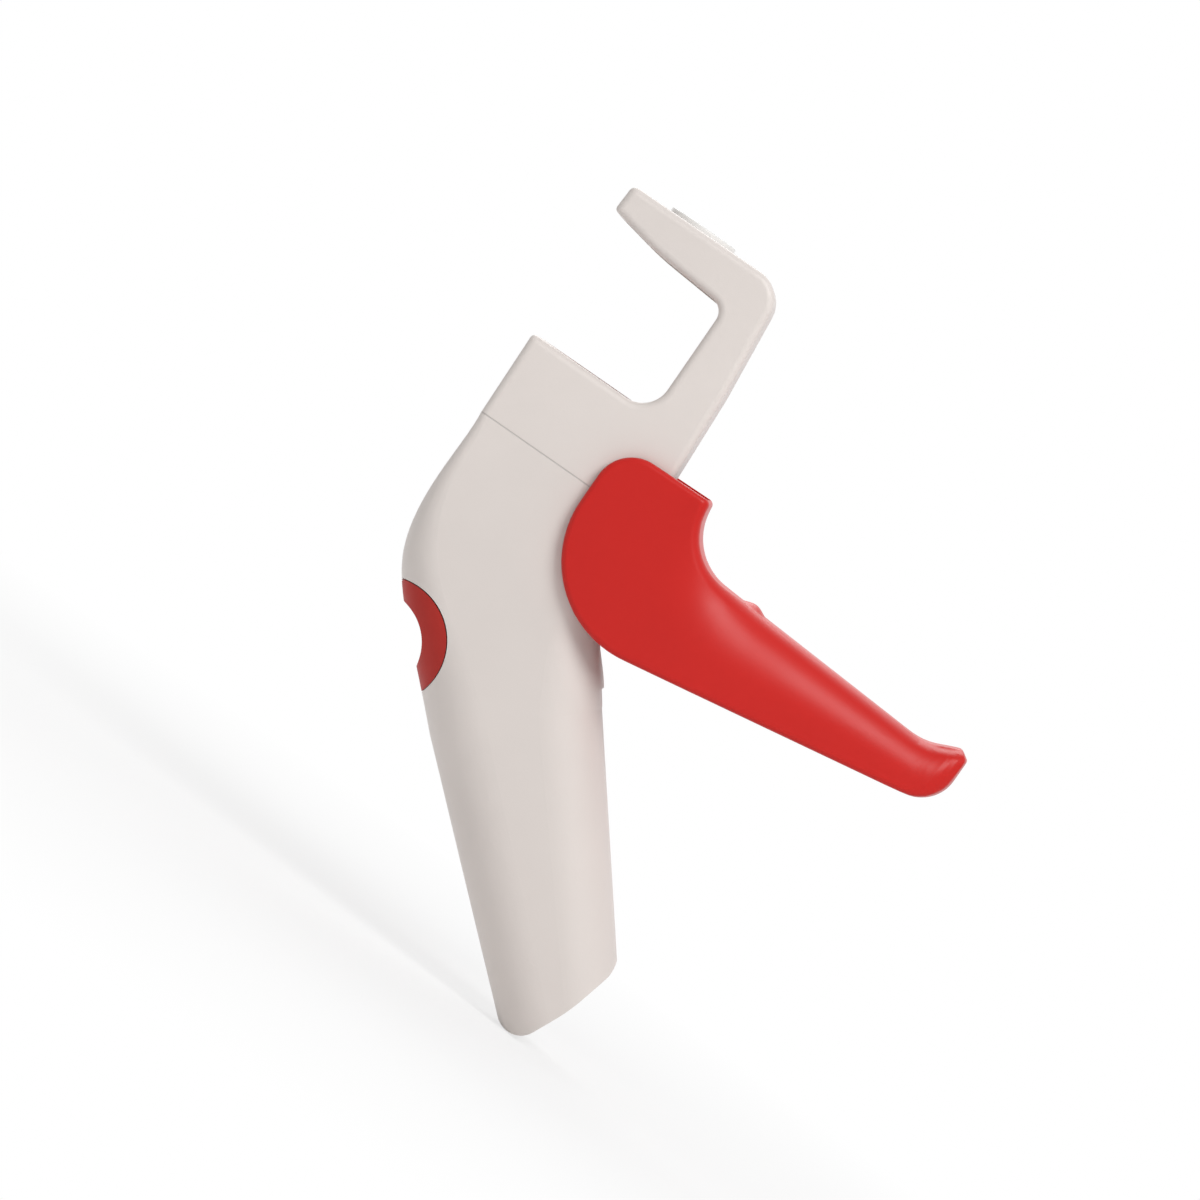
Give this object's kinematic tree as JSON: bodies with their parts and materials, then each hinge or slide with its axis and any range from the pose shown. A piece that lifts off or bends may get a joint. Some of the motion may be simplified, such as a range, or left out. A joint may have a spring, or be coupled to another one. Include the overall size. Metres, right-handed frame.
{
  "type": "cherry pitter with lever",
  "caption": "Hand-held cherry pitter: a C-shaped head holds the fruit, and squeezing the hinged lever drives a fluted rod up through it and out of the arm.",
  "frame": {"origin": "centre of the block's rim, where the fruit rests, on the punch's line", "axes": "+Z the way the punch travels, +X towards the spine and the lever, +Y towards the left side, where the screws are"},
  "size_m": [0.1214, 0.0366, 0.1557],
  "materials": {
    "body_plastic": "warm off-white, fine satin moulding",
    "lever_plastic": "red, satin moulding",
    "rest_rubber": "red soft-touch rubber",
    "seat_rubber": "red soft rubber",
    "collar_plastic": "white, smooth",
    "guide_plastic": "natural acetal",
    "crank_metal": "die cast, blasted",
    "steel": "stainless, drawn"
  },
  "bodies": {
    "body": {"head_frame": "body_plastic", "handle_shell_right": "body_plastic", "handle_shell_left": "body_plastic", "hand_rest": "rest_rubber", "pit_exit_collar": "collar_plastic", "cherry_seat": "seat_rubber", "punch_guide": "guide_plastic", "spring_washer": "steel", "return_spring": "steel", "pivot_bushes": "guide_plastic", "shell_screws": "steel"},
    "lever": {"lever": "lever_plastic", "crank_fork": "crank_metal", "crank_screws": "steel", "pivot_pin": "steel"},
    "punch": {"punch_rod": "steel", "punch_carrier": "guide_plastic", "carrier_pins": "steel"}
  },
  "joints": [
    {"name": "lever_pivot", "type": "hinge", "parent": "body", "child": "lever", "pos_m": [0.033, 0, -0.022], "axis": [0, 1, 0], "range_deg": [0, 49], "stiffness_Nm_per_rad": 0.3, "springref_deg": -34.38},
    {"name": "punch_slide", "type": "slide", "parent": "body", "child": "punch", "axis": [0, 0, 1], "range_m": [0, 0.03111], "deforming": ["return_spring"]}
  ],
  "couplings": [
    {"joint": "punch_slide", "follows": "lever_pivot", "m_per_rad": 0.036367}
  ]
}
